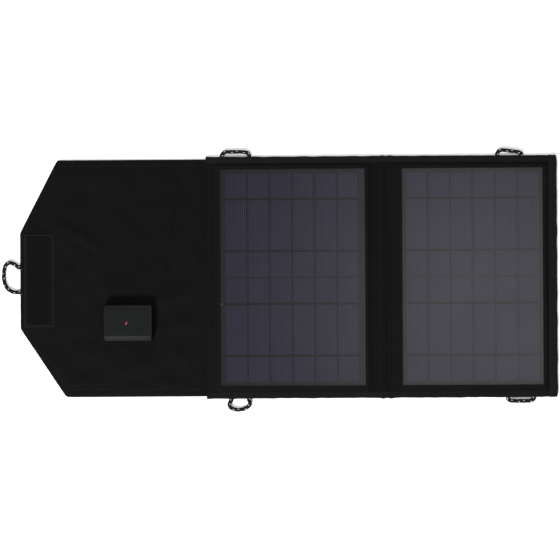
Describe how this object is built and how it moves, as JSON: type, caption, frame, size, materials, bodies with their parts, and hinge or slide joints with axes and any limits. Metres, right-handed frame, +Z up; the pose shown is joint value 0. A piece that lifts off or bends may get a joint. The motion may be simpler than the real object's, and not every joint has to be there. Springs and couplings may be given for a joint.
{
  "type": "folding solar charger",
  "caption": "Folding solar charger: two strip-cell panels in a bound fabric cover, a soft spine and a hook-and-loop flap that carries a USB charge controller.",
  "frame": {"origin": "on the ground under the middle of the open, flat body, cord loops left out", "axes": "+X from the flap's tip to the end panel, +Z up from the ground out of the panels' front faces"},
  "size_m": [0.5564, 0.2624, 0.0149],
  "materials": {
    "fabric": "black coated polyester canvas, matte",
    "binding": "black woven binding tape, matte with a slight sheen",
    "hook_tape": "black hook tape, fine stiff pile",
    "loop_tape": "black loop tape, brushed pile",
    "cord": "black braided cord with pale flecks",
    "board": "dark glass-fibre board",
    "cell": "blue-violet monocrystalline silicon with fine printed fingers",
    "ribbon": "dark tinned copper ribbon",
    "film": "clear satin laminate film",
    "case": "black moulded plastic, satin",
    "circuit": "green solder mask",
    "socket": "bright nickel-plated sheet",
    "insulator": "black moulded plastic",
    "led": "red light pipe",
    "coil": "dark ferrite",
    "lead": "black flat two-core lead"
  },
  "bodies": {
    "centre_panel": {"centre_back_cover": "fabric", "centre_front_cover": "fabric", "centre_backing_board": "board", "centre_front_film": "film", "centre_ribbons": "ribbon", "centre_cell_01": "cell", "centre_cell_02": "cell", "centre_cell_03": "cell", "centre_cell_04": "cell", "centre_cell_05": "cell", "centre_cell_06": "cell", "centre_cell_07": "cell", "centre_cell_08": "cell", "centre_cell_09": "cell", "centre_cell_10": "cell", "centre_cell_11": "cell", "centre_cell_12": "cell", "centre_binding_top": "binding", "centre_binding_bottom": "binding", "centre_lead": "lead", "centre_loop_top": "cord", "centre_loop_bottom": "cord"},
    "end_panel": {"end_back_cover": "fabric", "end_front_cover": "fabric", "end_backing_board": "board", "end_front_film": "film", "end_ribbons": "ribbon", "end_cell_01": "cell", "end_cell_02": "cell", "end_cell_03": "cell", "end_cell_04": "cell", "end_cell_05": "cell", "end_cell_06": "cell", "end_cell_07": "cell", "end_cell_08": "cell", "end_cell_09": "cell", "end_cell_10": "cell", "end_cell_11": "cell", "end_cell_12": "cell", "end_binding_top": "binding", "end_binding_bottom": "binding", "end_binding_side": "binding", "loop_fastener_patch": "loop_tape", "end_loop_top": "cord", "end_loop_bottom": "cord"},
    "spine": {"spine_outer_fabric": "fabric", "spine_inner_fabric": "fabric", "spine_lead": "lead"},
    "flap": {"flap_outer_fabric": "fabric", "flap_inner_fabric": "fabric", "hook_fastener_strip": "hook_tape", "flap_lead": "lead", "flap_loop": "cord", "case_base": "case", "case_lid": "case", "circuit_board": "circuit", "usb_socket_shell": "socket", "usb_socket_insulator": "insulator", "charge_led": "led", "converter_coil": "coil"}
  },
  "joints": [
    {"name": "panel_fold", "type": "hinge", "parent": "centre_panel", "child": "end_panel", "pos_m": [0.09825, 0, 0.00485], "axis": [0, -1, 0], "range_deg": [0, 180]},
    {"name": "spine_fold", "type": "hinge", "parent": "centre_panel", "child": "spine", "pos_m": [-0.08275, 0, 0.00245], "axis": [0, 1, 0], "range_deg": [0, 90]},
    {"name": "flap_fold", "type": "hinge", "parent": "spine", "child": "flap", "pos_m": [-0.11125, 0, 0.00245], "axis": [0, 1, 0], "range_deg": [0, 96.3]}
  ]
}
